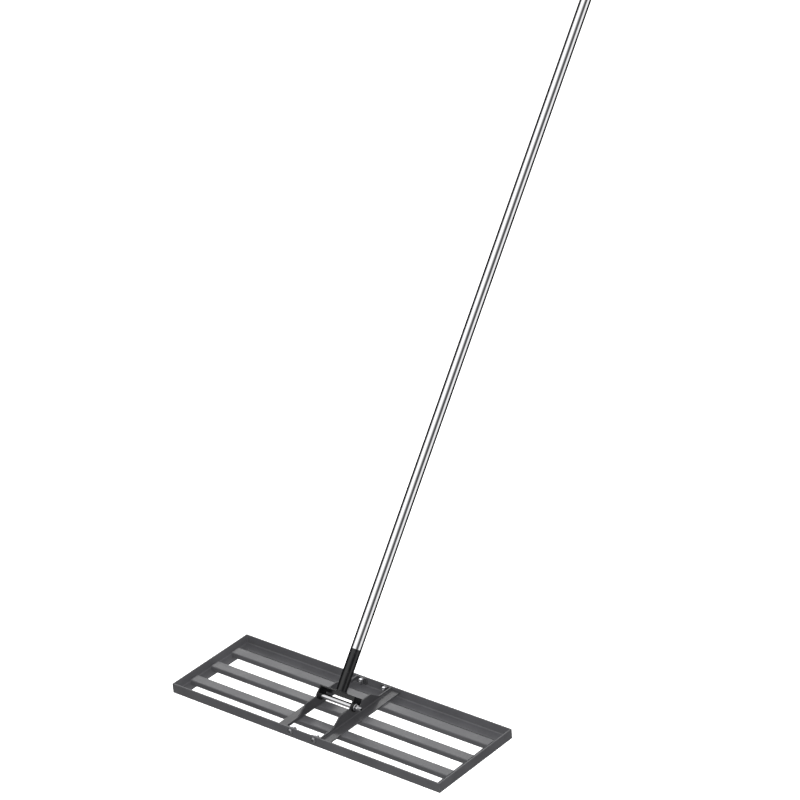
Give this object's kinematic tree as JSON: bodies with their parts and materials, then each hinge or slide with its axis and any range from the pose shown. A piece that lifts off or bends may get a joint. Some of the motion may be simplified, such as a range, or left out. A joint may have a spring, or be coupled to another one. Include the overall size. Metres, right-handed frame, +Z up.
{
  "type": "levelling rake",
  "caption": "Hand levelling rake: flat slatted steel ground plate with folded brackets and a pivoting yoke that carries a long round tube handle.",
  "frame": {"origin": "bottom centre of the whole tool's bounding box at the rest pose, on the ground the plate lies on", "axes": "+X along the plate's long side, +Y towards the side the handle leans to, +Z up"},
  "size_m": [0.762, 1.2804, 1.4726],
  "materials": {
    "black_powder_coat": "satin powder coat on mild steel",
    "zinc_fasteners": "zinc plated",
    "pivot_steel": "bright turned",
    "polished_tube": "polished stainless",
    "spigot_steel": "plain turned",
    "black_plastic": "moulded, matt"
  },
  "bodies": {
    "ground_plate": {"back_bracket_bolts": "zinc_fasteners", "back_bracket_nuts": "zinc_fasteners", "back_bracket_washers": "zinc_fasteners", "back_rail": "black_powder_coat", "front_bracket_bolts": "zinc_fasteners", "front_bracket_nuts": "zinc_fasteners", "front_bracket_washers": "zinc_fasteners", "front_rail": "black_powder_coat", "front_slat": "black_powder_coat", "left_bracket": "black_powder_coat", "left_rail": "black_powder_coat", "middle_slat": "black_powder_coat", "pivot_bolt": "pivot_steel", "pivot_lock_nut": "pivot_steel", "pivot_nut_washer": "pivot_steel", "rear_slat": "black_powder_coat", "right_bracket": "black_powder_coat", "right_rail": "black_powder_coat"},
    "handle": {"yoke": "black_powder_coat", "handle_socket": "black_powder_coat", "handle_spigot": "spigot_steel", "handle_tube": "polished_tube", "handle_end_cap": "black_plastic"}
  },
  "joints": [
    {"name": "handle_pivot", "type": "hinge", "parent": "ground_plate", "child": "handle", "pos_m": [0, -0.51477, 0.0405], "axis": [1, 0, 0], "range_deg": [-16, 70]}
  ]
}
